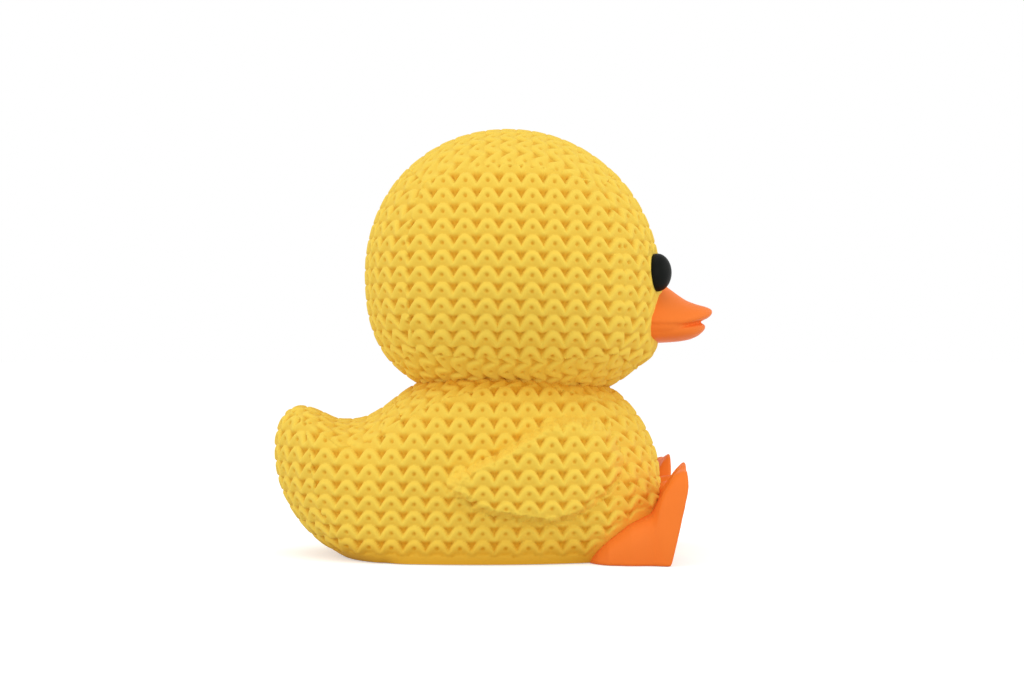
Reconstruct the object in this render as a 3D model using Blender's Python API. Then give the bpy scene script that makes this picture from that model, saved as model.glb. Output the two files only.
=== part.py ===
"""Rubber duck with a knitted look, sitting with its feet up.

The duck is one hollow vinyl casting: head, body, wings, bill, eyes and feet are a single skin
with one small air hole in the flat base. It looks along +X, +Z is up, and the origin is on
the ground under the middle of its length.

Head and body are each clad with three knitted panels, a right side, a left side and a strip over
the middle. Every stitch is four points: a deep pit, a crest and a trough of the wavy
yarn around it, and the small dimple under the crest.
"""

import math

import bmesh
import bpy
import numpy as np
from mathutils import Vector
from mathutils.geometry import delaunay_2d_cdt

MM = 0.001
TURN = 2.0 * math.pi
MIRROR = np.array([1.0, -1.0, 1.0])

# Body: side outline as (x, share of the height), from the chest over the back to the tail and
# under the base
BODY_HEIGHT = 39.0 * MM
BODY_CENTRE = (-20.0 * MM, 0.128 * BODY_HEIGHT)
BODY_OUTLINE = [
    (33.0 * MM, 0.359 * BODY_HEIGHT),
    (32.5 * MM, 0.505 * BODY_HEIGHT),
    (31.1 * MM, 0.603 * BODY_HEIGHT),
    (26.6 * MM, 0.774 * BODY_HEIGHT),
    (14.0 * MM, 0.962 * BODY_HEIGHT),
    (4.0 * MM, BODY_HEIGHT),
    (-6.0 * MM, 0.962 * BODY_HEIGHT),
    (-16.5 * MM, 0.846 * BODY_HEIGHT),
    (-22.0 * MM, 0.744 * BODY_HEIGHT),
    (-28.0 * MM, 0.685 * BODY_HEIGHT),
    (-32.3 * MM, 0.697 * BODY_HEIGHT),
    (-35.6 * MM, 0.736 * BODY_HEIGHT),
    (-38.6 * MM, 0.751 * BODY_HEIGHT),
    (-41.3 * MM, 0.713 * BODY_HEIGHT),
    (-42.9 * MM, 0.631 * BODY_HEIGHT),
    (-43.3 * MM, 0.505 * BODY_HEIGHT),
    (-42.3 * MM, 0.359 * BODY_HEIGHT),
    (-39.5 * MM, 0.213 * BODY_HEIGHT),
    (-35.0 * MM, 0.087 * BODY_HEIGHT),
    (-29.4 * MM, -0.005 * BODY_HEIGHT),
    (-24.5 * MM, -0.056 * BODY_HEIGHT),
    (-14.0 * MM, -0.192 * BODY_HEIGHT),
    (4.0 * MM, -0.333 * BODY_HEIGHT),
    (20.0 * MM, -0.282 * BODY_HEIGHT),
    (29.0 * MM, -0.103 * BODY_HEIGHT),
    (31.9 * MM, 0.141 * BODY_HEIGHT),
]
BODY_HALF_WIDTH = 26.2 * MM
BODY_WIDEST_X = 6.0 * MM
BODY_TAPER_FRONT = 38.0 * MM
BODY_TAPER_TAIL = 50.5 * MM
BODY_PLAN_POWER = 2.3
BODY_SIDE_POWER = 4.2

# Head, which sits into the body
HEAD_X = 4.0 * MM
HEAD_HALF_LENGTH = 29.3 * MM
HEAD_HALF_WIDTH = 29.0 * MM
HEAD_RISE = 30.2 * MM
HEAD_DROP = 23.9 * MM
HEAD_OVERLAP = 8.7 * MM
HEAD_Z = BODY_HEIGHT + HEAD_DROP - HEAD_OVERLAP
HEAD_CROWN_POWER = 2.05
HEAD_JAW_POWER = 2.6
HEAD_LEAN = 0.037

# Wing: leaf outline as (x, z), lying on the side of the body
WING_CENTRE = (9.5 * MM, 17.5 * MM)
WING_OUTLINE = [
    (24.8 * MM, 18.0 * MM),
    (23.4 * MM, 23.6 * MM),
    (16.4 * MM, 27.6 * MM),
    (5.5 * MM, 24.0 * MM),
    (-3.2 * MM, 19.2 * MM),
    (-8.9 * MM, 15.2 * MM),
    (-5.0 * MM, 11.4 * MM),
    (2.5 * MM, 9.0 * MM),
    (12.0 * MM, 8.0 * MM),
    (20.0 * MM, 11.6 * MM),
]
WING_RAISE = 4.3 * MM
WING_EDGE_POWER = 7.0
WING_SHOULDER = 0.92

# Knit
STITCH_WIDTH = 4.22 * MM
STITCH_HEIGHT = 3.02 * MM
HEAD_KNIT_X = HEAD_X + 0.88 * MM
HEAD_KNIT_Z = HEAD_Z + 1.19 * MM
BODY_KNIT_X = -0.1 * MM
BODY_KNIT_Z = 30.0 * MM
PIT_DEPTH = 0.62 * MM
DIMPLE_DEPTH = 0.12 * MM
YARN_RAISE = 0.26 * MM
PIT_LIFT = 0.12 * MM
CREST_LIFT = 0.62 * MM
TROUGH_DROP = 1.20 * MM
DIMPLE_DROP = 0.74 * MM
KNIT_MARGIN = 0.70 * MM
PLAIN_HEM = 1.3 * MM
STRIP_SHARE = 0.62
BURIED = 0.06

# Points along plain edges
HEAD_SEAM_POINTS = 5
BASE_END_POINTS = 5
BASE_SIDE_POINTS = 16
WING_SEAM_POINTS = 30
CORE_SIDES = 14
CORE_RINGS = 7
CORE_REACH = 0.96
BORE_SIDES = 14
BILL_SIDES = 14
MIDDLE_LINE_SAMPLES = 2000
HALVINGS = 40
REACH = 90.0 * MM
WELD = 0.01 * MM
SLOPE_STEP = 0.02 * MM

# Bill halves: sections as (distance ahead of the head's front, half width, then the heights of
# the top, the lip and the underside over the mouth line)
MOUTH_Z = HEAD_Z - 8.2 * MM
UPPER_BILL = [
    (-4.8 * MM, 11.2 * MM, 11.0 * MM, 0.2 * MM, -1.4 * MM),
    (0.2 * MM, 10.6 * MM, 9.4 * MM, 0.2 * MM, -1.4 * MM),
    (2.4 * MM, 10.0 * MM, 7.3 * MM, 0.3 * MM, -1.1 * MM),
    (3.8 * MM, 9.5 * MM, 5.8 * MM, 0.3 * MM, -0.9 * MM),
    (5.8 * MM, 8.6 * MM, 4.3 * MM, 0.5 * MM, -0.6 * MM),
    (8.1 * MM, 6.8 * MM, 3.5 * MM, 1.0 * MM, 0.0 * MM),
    (10.0 * MM, 3.9 * MM, 3.05 * MM, 1.6 * MM, 0.8 * MM),
    (10.8 * MM, 1.6 * MM, 2.7 * MM, 1.9 * MM, 1.4 * MM),
]
LOWER_BILL = [
    (-4.8 * MM, 9.8 * MM, 0.0 * MM, -1.6 * MM, -4.4 * MM),
    (2.2 * MM, 9.2 * MM, 0.0 * MM, -1.5 * MM, -3.95 * MM),
    (4.6 * MM, 8.4 * MM, 0.2 * MM, -1.3 * MM, -3.8 * MM),
    (6.6 * MM, 7.2 * MM, 0.4 * MM, -1.1 * MM, -3.4 * MM),
    (8.3 * MM, 5.2 * MM, 0.3 * MM, -1.0 * MM, -2.5 * MM),
    (9.3 * MM, 2.2 * MM, -0.3 * MM, -0.9 * MM, -1.5 * MM),
]
BILL_SECTION_POWER = 0.8

# Eye, a dome sunk into the face
EYE_Y = 8.6 * MM
EYE_Z = HEAD_Z + 1.9 * MM
EYE_SINK = 0.5 * MM
EYE_HALF_HEIGHT = 3.75 * MM
EYE_HALF_WIDTH = 3.45 * MM
EYE_BULGE = 3.6 * MM
EYE_SIDES = 14
EYE_RINGS = 8

# Foot: web outline seen from the front as (distance from the middle, z)
FOOT_OUTLINE = [
    (4.6 * MM, 0.0 * MM),
    (28.6 * MM, 0.0 * MM),
    (28.9 * MM, 3.0 * MM),
    (28.0 * MM, 8.0 * MM),
    (25.4 * MM, 15.2 * MM),
    (23.9 * MM, 17.2 * MM),
    (21.9 * MM, 17.5 * MM),
    (20.2 * MM, 16.2 * MM),
    (19.2 * MM, 15.0 * MM),
    (17.6 * MM, 17.6 * MM),
    (15.6 * MM, 19.2 * MM),
    (13.4 * MM, 19.0 * MM),
    (11.8 * MM, 17.0 * MM),
    (11.0 * MM, 14.8 * MM),
    (9.4 * MM, 16.6 * MM),
    (7.4 * MM, 17.2 * MM),
    (5.4 * MM, 16.0 * MM),
    (4.0 * MM, 8.0 * MM),
    (4.0 * MM, 3.0 * MM),
]
FOOT_SOLE_X = 33.7 * MM
FOOT_SOLE_LEAN = 0.40
FOOT_SOLE_BOW = 12.5
FOOT_BACK_X = 30.0 * MM
FOOT_BACK_Z = 8.6 * MM
FOOT_TIP_Z = 19.2 * MM
FOOT_TIP_THICKNESS = 1.2 * MM
FOOT_EDGE = 0.8 * MM
HEEL_PROFILE = [
    (17.6 * MM, 0.0 * MM),
    (21.4 * MM, 4.2 * MM),
    (25.6 * MM, 7.6 * MM),
    (28.8 * MM, 9.1 * MM),
    (33.0 * MM, 9.3 * MM),
    (33.0 * MM, 0.0 * MM),
]
HEEL_INNER_Y = 7.0 * MM
HEEL_BACK_Y = 24.8 * MM
HEEL_FRONT_Y = 27.6 * MM

# Hollow inside
WALL = 2.4 * MM
NECK_BORE = 12.0 * MM
NECK_LOW_Z = 24.0 * MM
AIR_HOLE = 3.0 * MM
AIR_HOLE_X = 0.0 * MM

# Paint
YELLOW = (0.87, 0.57, 0.06, 1.0)
ORANGE = (0.95, 0.19, 0.02, 1.0)
BLACK = (0.012, 0.012, 0.011, 1.0)


def clear_scene():
    """Start from an empty file."""
    for old in list(bpy.data.objects):
        bpy.data.objects.remove(old, do_unlink=True)


def make_collection(name):
    collection = bpy.data.collections.new(name)
    bpy.context.scene.collection.children.link(collection)
    return collection


def make_material(name, color, roughness):
    """A plain vinyl or paint finish."""
    material = bpy.data.materials.new(name)
    material.use_nodes = True
    shader = material.node_tree.nodes["Principled BSDF"]
    shader.inputs["Base Color"].default_value = color
    shader.inputs["Roughness"].default_value = roughness
    shader.inputs["Metallic"].default_value = 0.0
    return material


def make_object(name, bm, collection, material):
    """Put a finished bmesh into a new object."""
    mesh = bpy.data.meshes.new(name)
    bm.to_mesh(mesh)
    bm.free()
    mesh.materials.append(material)
    obj = bpy.data.objects.new(name, mesh)
    collection.objects.link(obj)
    return obj


def outline_radius(points, centre):
    """Radius of a smooth closed outline at any angle about a centre inside it."""
    offsets = np.array(points) - np.array(centre)
    angles = np.unwrap(np.arctan2(offsets[:, 1], offsets[:, 0]))
    radii = np.hypot(offsets[:, 0], offsets[:, 1])
    knots = np.concatenate([angles - TURN, angles, angles + TURN])
    values = np.tile(radii, 3)
    slopes = np.gradient(values, knots)

    def radius(angle):
        turned = angles[0] + np.mod(angle - angles[0], TURN)
        index = np.searchsorted(knots, turned, side="right") - 1
        step = knots[index + 1] - knots[index]
        t = (turned - knots[index]) / step
        start = (1.0 + 2.0 * t) * (1.0 - t) ** 2 * values[index]
        start_slope = t * (1.0 - t) ** 2 * step * slopes[index]
        end = t ** 2 * (3.0 - 2.0 * t) * values[index + 1]
        end_slope = t ** 2 * (t - 1.0) * step * slopes[index + 1]
        return start + start_slope + end + end_slope

    return radius


body_radius = outline_radius(BODY_OUTLINE, BODY_CENTRE)
wing_radius = outline_radius(WING_OUTLINE, WING_CENTRE)


def head_field(x, y, z):
    """Zero on the head's skin, negative inside."""
    drop = np.where(z > HEAD_Z, HEAD_RISE, HEAD_DROP)
    power = np.where(z > HEAD_Z, HEAD_CROWN_POWER, HEAD_JAW_POWER)
    along = np.abs(x - HEAD_X + HEAD_LEAN * (z - HEAD_Z)) / HEAD_HALF_LENGTH
    up = np.abs(z - HEAD_Z) / drop
    side_view = (along ** power + up ** power) ** (1.0 / power)
    return side_view ** 2 + (y / HEAD_HALF_WIDTH) ** 2 - 1.0


def body_half_width(x):
    """Half width of the body's plan, which narrows to the tail and the chest."""
    taper = np.where(x > BODY_WIDEST_X, BODY_TAPER_FRONT, BODY_TAPER_TAIL)
    along = np.clip(np.abs(x - BODY_WIDEST_X) / taper, 0.0, 0.995)
    return BODY_HALF_WIDTH * (1.0 - along ** BODY_PLAN_POWER) ** (1.0 / BODY_PLAN_POWER)


def body_field(x, y, z):
    """Zero on the body's skin, negative inside."""
    east = x - BODY_CENTRE[0]
    up = z - BODY_CENTRE[1]
    side_view = np.hypot(east, up) / body_radius(np.arctan2(up, east))
    return side_view ** BODY_SIDE_POWER + (y / body_half_width(x)) ** 2 - 1.0


def wing_raise(x, z):
    """How far the wing stands out from the body's side."""
    east = x - WING_CENTRE[0]
    up = z - WING_CENTRE[1]
    share = np.hypot(east, up) / wing_radius(np.arctan2(up, east))
    return WING_RAISE * np.sqrt(1.0 - np.minimum(share, 1.0) ** WING_EDGE_POWER)


def no_raise(x, z):
    return np.zeros_like(x)


def bisect(field, place, far):
    """Distance at which place(distance) crosses the field's skin, for arrays of rays."""
    low = np.zeros_like(far)
    high = far.copy()
    for _ in range(HALVINGS):
        middle = 0.5 * (low + high)
        inside = field(*place(middle)) < 0.0
        low = np.where(inside, middle, low)
        high = np.where(inside, high, middle)
    return 0.5 * (low + high)


def outward(field, points):
    """Unit normals of a skin at some points, from the slope of its field."""
    slopes = []
    for axis in range(3):
        shift = np.zeros(3)
        shift[axis] = SLOPE_STEP
        slopes.append(field(*(points + shift).T) - field(*(points - shift).T))
    normals = np.array(slopes).T
    return normals / np.linalg.norm(normals, axis=1)[:, None]


class Form:
    """A rounded form that is symmetric about the middle plane and can be clad with knit."""

    def __init__(self, field, centre, knit_start, extra=no_raise):
        self.field = field
        self.centre = centre
        self.knit_start = knit_start
        self.extra = extra

    def side_points(self, across, up):
        """Points on the right side of the skin, seen square on."""
        far = np.full_like(across, REACH)
        depth = bisect(self.field, lambda d: (across, d, up), far)
        return np.column_stack([across, -depth - self.extra(across, up), up])

    def strip_points(self, angle, lateral):
        """Points on the skin at an angle round the middle plane, and to one side of it."""
        far = np.full_like(angle, REACH)
        cosine = np.cos(angle)
        sine = np.sin(angle)

        def place(distance):
            return (self.centre[0] + distance * cosine, lateral, self.centre[1] + distance * sine)

        radius = bisect(self.field, place, far)
        x, y, z = place(radius)
        return np.column_stack([x, y, z])

    def ground_points(self, lateral, direction):
        """Points where the skin meets the ground, towards the tail (-1) or the chest (+1)."""
        far = np.full_like(lateral, REACH)
        ground = np.zeros_like(lateral)
        distance = bisect(
            self.field,
            lambda d: (self.centre[0] + direction * d, lateral, ground),
            far,
        )
        return np.column_stack([self.centre[0] + direction * distance, lateral, ground])


def stitch_points(low, high, start):
    """The four kinds of stitch points that cover a box, as (across, up, height)."""
    first_column = math.floor((low[0] - start[0]) / STITCH_WIDTH) - 1
    last_column = math.ceil((high[0] - start[0]) / STITCH_WIDTH) + 1
    first_row = math.floor((low[1] - start[1]) / STITCH_HEIGHT) - 1
    last_row = math.ceil((high[1] - start[1]) / STITCH_HEIGHT) + 1
    points = []
    for row in range(first_row, last_row + 1):
        up = start[1] + row * STITCH_HEIGHT
        for column in range(first_column, last_column + 1):
            across = start[0] + column * STITCH_WIDTH
            between = across + 0.5 * STITCH_WIDTH
            points.append((across, up + PIT_LIFT, -PIT_DEPTH))
            points.append((across, up - TROUGH_DROP, YARN_RAISE))
            points.append((between, up + CREST_LIFT, YARN_RAISE))
            points.append((between, up - DIMPLE_DROP, -DIMPLE_DEPTH))
    return np.array(points)


def clearance(points, outline):
    """Distance from each point to a closed outline, and whether it lies inside."""
    start = outline
    run = np.roll(outline, -1, axis=0) - start
    offset = points[:, None, :] - start[None, :, :]
    share = np.clip((offset * run).sum(2) / (run ** 2).sum(1), 0.0, 1.0)
    gap = np.linalg.norm(offset - share[..., None] * run, axis=2).min(axis=1)
    end = start + run
    straddles = (start[None, :, 1] > points[:, 1:]) != (end[None, :, 1] > points[:, 1:])
    rise = np.where(run[:, 1] == 0.0, 1.0, run[:, 1])
    crossing = start[:, 0] + (points[:, 1:] - start[:, 1]) / rise * run[:, 0]
    inside = (straddles & (points[:, :1] < crossing)).sum(axis=1) % 2 == 1
    return gap, inside


def triangulate(fixed, loops, free):
    """Triangles over fixed outline points, joined in loops, and free points inside them."""
    everything = np.vstack([fixed, free]) / MM
    edges = []
    for loop in loops:
        edges.extend(zip(loop, loop[1:] + loop[:1]))
    result = delaunay_2d_cdt([Vector(point) for point in everything], edges, [], 1, 1e-6)
    faces = result[2]
    origins = result[3]
    return [[origins[corner][0] for corner in face] for face in faces]


def add_faces(bm, points, faces):
    """Add one panel's triangles to the bmesh."""
    corners = [bm.verts.new(p) for p in points]
    for face in faces:
        bm.faces.new([corners[corner] for corner in face])


def side_panel(bm, form, border, seams, hidden, fade):
    """Both sides of a form: stitches inside a border, around seams that stay as edges."""
    outline = border[:, [0, 2]]
    fixed = [outline]
    places = [border]
    loops = [list(range(len(outline)))]
    used = len(outline)
    for seam in seams:
        loops.append(list(range(used, used + len(seam))))
        used += len(seam)
        fixed.append(seam)
        places.append(form.side_points(seam[:, 0], seam[:, 1]))
    stitches = stitch_points(outline.min(axis=0), outline.max(axis=0), form.knit_start)
    flat = stitches[:, :2]
    gap, inside = clearance(flat, outline)
    wanted = inside & (gap > KNIT_MARGIN)
    for seam in seams:
        wanted &= clearance(flat, seam)[0] > KNIT_MARGIN
    stitches = stitches[wanted]
    skin = form.side_points(stitches[:, 0], stitches[:, 1])
    shown = ~hidden(skin)
    skin = skin[shown]
    stitches = stitches[shown]
    bare = skin.copy()
    bare[:, 1] += form.extra(skin[:, 0], skin[:, 2])
    lift = (stitches[:, 2] * fade(skin))[:, None] * outward(form.field, bare)
    faces = triangulate(np.vstack(fixed), loops, stitches[:, :2])
    points = np.vstack(places + [skin + lift])
    add_faces(bm, points, faces)
    add_faces(bm, points * MIRROR, [face[::-1] for face in faces])


def strip_panel(bm, form, line, borders, crossings, hidden, fade):
    """The strip over the middle of a form, between the two side panels.

    It is laid out flat with the arc length along the middle against the distance to the side.
    crossings are the points, in space, that close the strip at its first and last row.
    """
    arcs, angles = line
    lateral = np.abs(borders[:, 1])
    right = np.column_stack([arcs, -lateral])
    left = np.column_stack([arcs, lateral])
    first = np.column_stack([np.full(len(crossings[0]), arcs[0]), crossings[0][:, 1]])
    last = np.column_stack([np.full(len(crossings[1]), arcs[-1]), crossings[1][:, 1]])
    outline = np.vstack([right, last, left[::-1], first[::-1]])
    mirrored = borders * MIRROR
    places = np.vstack([borders, crossings[1], mirrored[::-1], crossings[0][::-1]])
    low = (outline[:, 1].min(), arcs[0])
    high = (outline[:, 1].max(), arcs[-1])
    stitches = stitch_points(low, high, (0.0, 0.5 * STITCH_HEIGHT))
    flat = stitches[:, [1, 0]]
    gap, inside = clearance(flat, outline)
    wanted = inside & (gap > KNIT_MARGIN)
    stitches = stitches[wanted]
    flat = flat[wanted]
    skin = form.strip_points(np.interp(flat[:, 0], arcs, angles), flat[:, 1])
    shown = ~hidden(skin)
    skin = skin[shown]
    lift = (stitches[shown, 2] * fade(skin))[:, None] * outward(form.field, skin)
    faces = triangulate(outline, [list(range(len(outline)))], flat[shown])
    add_faces(bm, np.vstack([places, skin + lift]), faces)


def middle_line(form, start_angle, end_angle):
    """Arc lengths and angles along the middle outline, one for each row of stitches."""
    fine = np.linspace(start_angle, end_angle, MIDDLE_LINE_SAMPLES)
    points = form.strip_points(fine, np.zeros_like(fine))
    steps = np.linalg.norm(np.diff(points, axis=0), axis=1)
    arc = np.concatenate([[0.0], np.cumsum(steps)])
    count = round(arc[-1] / STITCH_HEIGHT)
    arcs = np.linspace(0.0, arc[-1], count + 1)
    return arcs, np.interp(arcs, arc, fine)


def finish_skin(bm):
    """Weld the panels, close what is open and turn the faces outwards."""
    bmesh.ops.remove_doubles(bm, verts=bm.verts, dist=WELD)
    open_edges = [edge for edge in bm.edges if edge.is_boundary]
    if open_edges:
        bmesh.ops.holes_fill(bm, edges=open_edges, sides=0)
    bmesh.ops.recalc_face_normals(bm, faces=bm.faces)
    bmesh.ops.triangulate(bm, faces=bm.faces)


def spread(half, count):
    """Evenly spaced places from one side to the other, without the two ends."""
    return np.linspace(-half, half, count + 2)[1:-1]


def build_head(collection, material):
    """The knitted ball of the head, plain where the body hides it."""
    form = Form(head_field, (HEAD_X, HEAD_Z), (HEAD_KNIT_X, HEAD_KNIT_Z))
    arcs, angles = middle_line(form, -0.25 * TURN, 0.75 * TURN)
    half = STRIP_SHARE * HEAD_HALF_WIDTH
    borders = form.strip_points(angles, np.full_like(angles, -half))
    borders[-1] = borders[0]
    across = spread(half, HEAD_SEAM_POINTS)
    seam = form.strip_points(np.full_like(across, angles[0]), across)

    def hidden(points):
        return body_field(*points.T) < -BURIED

    def fade(points):
        return np.ones(len(points))

    bm = bmesh.new()
    side_panel(bm, form, borders[:-1], [], hidden, fade)
    strip_panel(bm, form, (arcs, angles), borders, (seam, seam), hidden, fade)
    finish_skin(bm)
    return make_object("head_form", bm, collection, material)


def build_body(collection, material):
    """The knitted body with its wings and the flat base."""
    form = Form(body_field, BODY_CENTRE, (BODY_KNIT_X, BODY_KNIT_Z), wing_raise)
    middle = np.zeros(1)
    chest_foot = form.ground_points(middle, 1.0)[0]
    tail_foot = form.ground_points(middle, -1.0)[0]
    chest_angle = math.atan2(-BODY_CENTRE[1], chest_foot[0] - BODY_CENTRE[0])
    tail_angle = math.atan2(-BODY_CENTRE[1], tail_foot[0] - BODY_CENTRE[0]) + TURN
    arcs, angles = middle_line(form, chest_angle, tail_angle)
    on_middle = form.strip_points(angles, np.zeros_like(angles))
    half = STRIP_SHARE * body_half_width(on_middle[:, 0])
    borders = form.strip_points(angles, -half)
    borders[0] = form.ground_points(-half[:1], 1.0)[0]
    borders[-1] = form.ground_points(-half[-1:], -1.0)[0]
    chest_edge = form.ground_points(spread(half[0], BASE_END_POINTS), 1.0)
    tail_edge = form.ground_points(spread(half[-1], BASE_END_POINTS), -1.0)
    along = np.linspace(borders[-1][0], borders[0][0], BASE_SIDE_POINTS + 2)[1:-1]
    base_edge = form.side_points(along, np.zeros_like(along))
    turn = np.linspace(0.0, TURN, WING_SEAM_POINTS + 1)[:-1]
    leaf = np.column_stack([np.cos(turn), np.sin(turn)]) * wing_radius(turn)[:, None]
    seams = [np.array(WING_CENTRE) + leaf, np.array(WING_CENTRE) + WING_SHOULDER * leaf]

    def hidden(points):
        buried = head_field(*points.T) < -BURIED
        return buried | (points[:, 2] < PLAIN_HEM)

    def fade(points):
        return np.clip((points[:, 2] - PLAIN_HEM) / PLAIN_HEM, 0.0, 1.0)

    bm = bmesh.new()
    side_panel(bm, form, np.vstack([borders, base_edge]), seams, hidden, fade)
    strip_panel(bm, form, (arcs, angles), borders, (chest_edge, tail_edge), hidden, fade)
    finish_skin(bm)
    return make_object("body_form", bm, collection, material)


def loft(name, rings, collection, material):
    """A closed skin through rings of points, with a cap at each end."""
    bm = bmesh.new()
    rows = [[bm.verts.new(point) for point in ring] for ring in rings]
    for row, after in zip(rows, rows[1:]):
        for i, corner in enumerate(row):
            j = (i + 1) % len(row)
            bm.faces.new([corner, row[j], after[j], after[i]])
    bm.faces.new(rows[0][::-1])
    bm.faces.new(rows[-1])
    bmesh.ops.recalc_face_normals(bm, faces=bm.faces)
    bmesh.ops.triangulate(bm, faces=bm.faces)
    return make_object(name, bm, collection, material)


def head_front(lateral, up):
    """How far forward the head's skin lies at a place seen from the front."""
    far = np.full(1, REACH)
    ahead = bisect(head_field, lambda d: (HEAD_X + d, lateral, up), far)
    return HEAD_X + float(ahead[0])


def rounded(share):
    """Flattens a round section's sine or cosine towards a box."""
    return math.copysign(abs(share) ** BILL_SECTION_POWER, share)


def build_bill(name, sections, collection, material):
    """One half of the bill: an arched top over a lip and a flatter underside."""
    face = head_front(0.0, MOUTH_Z)
    rings = []
    for ahead, half_width, top, lip, underside in sections:
        ring = []
        for i in range(BILL_SIDES):
            angle = TURN * i / BILL_SIDES
            up = rounded(math.sin(angle))
            height = lip + up * (top - lip if up > 0.0 else lip - underside)
            ring.append((face + ahead, half_width * rounded(math.cos(angle)), MOUTH_Z + height))
        rings.append(ring)
    return loft(name, rings, collection, material)


def build_eye(name, side, collection, material):
    """A domed eye that leans with the face."""
    bm = bmesh.new()
    bmesh.ops.create_uvsphere(bm, u_segments=EYE_SIDES, v_segments=EYE_RINGS, radius=1.0)
    face_turn = side * math.asin(EYE_Y / HEAD_HALF_WIDTH)
    middle_x = head_front(EYE_Y, EYE_Z) - EYE_SINK
    for vert in bm.verts:
        bulge = vert.co.x * EYE_BULGE
        width = vert.co.y * EYE_HALF_WIDTH
        ahead = bulge * math.cos(face_turn) - width * math.sin(face_turn)
        across = bulge * math.sin(face_turn) + width * math.cos(face_turn)
        height = vert.co.z * EYE_HALF_HEIGHT
        vert.co = (middle_x + ahead, side * EYE_Y + across, EYE_Z + height)
    return make_object(name, bm, collection, material)


def boolean(target, operand, operation):
    """Join an operand to the target, or cut it away, and keep the operand as a guide."""
    modifier = target.modifiers.new(operand.name, "BOOLEAN")
    modifier.operation = operation
    modifier.solver = "EXACT"
    modifier.object = operand
    modifier.material_mode = "TRANSFER"
    operand.hide_render = True
    operand.display_type = "WIRE"


def sole_x(z):
    """The sole's front face, which leans forward and bows back at the toes."""
    return FOOT_SOLE_X + FOOT_SOLE_LEAN * z - FOOT_SOLE_BOW * z * z


def inset(outline, distance):
    """A closed outline moved inwards; it runs anticlockwise."""
    points = np.array(outline)
    run = np.roll(points, -1, axis=0) - np.roll(points, 1, axis=0)
    inwards = np.column_stack([-run[:, 1], run[:, 0]])
    return points + distance * inwards / np.linalg.norm(inwards, axis=1)[:, None]


def build_foot(name, side, collection, material):
    """A webbed paddle with three blunt toes that get thinner to their tips."""
    tip_x = sole_x(FOOT_TIP_Z) - FOOT_TIP_THICKNESS
    face = []
    edge = []
    back = []
    for (across, z), (face_across, face_z) in zip(FOOT_OUTLINE, inset(FOOT_OUTLINE, FOOT_EDGE)):
        back_x = np.interp(z, (FOOT_BACK_Z, FOOT_TIP_Z), (FOOT_BACK_X, tip_x))
        face_z = max(face_z, 0.0) if z > 0.0 else 0.0
        face.append((sole_x(face_z), side * face_across, face_z))
        edge.append((sole_x(z) - 0.5 * FOOT_EDGE, side * across, z))
        back.append((float(back_x), side * across, z))
    return loft(name, [back, edge, face], collection, material)


def build_heel(name, side, collection, material):
    """The leg's wedge, which flares from the body to the back of the paddle."""
    back_x = HEEL_PROFILE[0][0]
    front_x = HEEL_PROFILE[-1][0]
    inner = [(x, side * HEEL_INNER_Y, z) for x, z in HEEL_PROFILE]
    outer = []
    for x, z in HEEL_PROFILE:
        flare = HEEL_BACK_Y + (HEEL_FRONT_Y - HEEL_BACK_Y) * (x - back_x) / (front_x - back_x)
        outer.append((x, side * flare, z))
    return loft(name, [inner, outer], collection, material)


def build_core(name, form, half_width, collection, material):
    """A plain core that lies one wall inside a form."""
    angles = np.linspace(0.0, TURN, CORE_SIDES + 1)[:-1]
    on_middle = form.strip_points(angles, np.zeros_like(angles))
    half = half_width(on_middle[:, 0])
    rings = []
    for share in np.linspace(-CORE_REACH, CORE_REACH, CORE_RINGS):
        skin = form.strip_points(angles, share * half)
        inner = skin - WALL * outward(form.field, skin)
        inner[:, 2] = np.maximum(inner[:, 2], WALL)
        rings.append(inner)
    return loft(name, rings, collection, material)


def build_bore(name, radius, x, reach, collection, material):
    """An upright round opening between two heights."""
    low, high = reach
    bm = bmesh.new()
    bmesh.ops.create_cone(
        bm,
        cap_ends=True,
        segments=BORE_SIDES,
        radius1=radius,
        radius2=radius,
        depth=high - low,
    )
    bmesh.ops.translate(bm, verts=bm.verts, vec=(x, 0.0, 0.5 * (low + high)))
    return make_object(name, bm, collection, material)


def main():
    clear_scene()
    parts = make_collection("rubber_duck")
    guides = make_collection("cutters")
    yellow = make_material("yellow_vinyl", YELLOW, 0.5)
    orange = make_material("orange_paint", ORANGE, 0.4)
    black = make_material("black_paint", BLACK, 0.45)

    duck = build_head(parts, yellow)
    duck.name = "duck_shell"
    boolean(duck, build_body(guides, yellow), "UNION")
    boolean(duck, build_bill("upper_bill_form", UPPER_BILL, guides, orange), "UNION")
    boolean(duck, build_bill("lower_bill_form", LOWER_BILL, guides, orange), "UNION")
    for side, word in ((-1.0, "right"), (1.0, "left")):
        boolean(duck, build_eye("eye_form_" + word, side, guides, black), "UNION")
        boolean(duck, build_heel("heel_form_" + word, side, guides, orange), "UNION")
        boolean(duck, build_foot("foot_form_" + word, side, guides, orange), "UNION")
    head = Form(head_field, (HEAD_X, HEAD_Z), (0.0, 0.0))
    body = Form(body_field, BODY_CENTRE, (0.0, 0.0))
    cores = [
        build_core("head_core", head, lambda x: np.full_like(x, HEAD_HALF_WIDTH), guides, yellow),
        build_core("body_core", body, body_half_width, guides, yellow),
        build_bore("neck_core", NECK_BORE, HEAD_X, (NECK_LOW_Z, HEAD_Z), guides, yellow),
        build_bore("air_hole", AIR_HOLE, AIR_HOLE_X, (-WALL, 2.0 * WALL), guides, yellow),
    ]
    for core in cores:
        boolean(duck, core, "DIFFERENCE")


main()
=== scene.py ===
"""Rubber duck: the knitted skin, painted bill, eyes and feet, and the studio round them."""
import math

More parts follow.
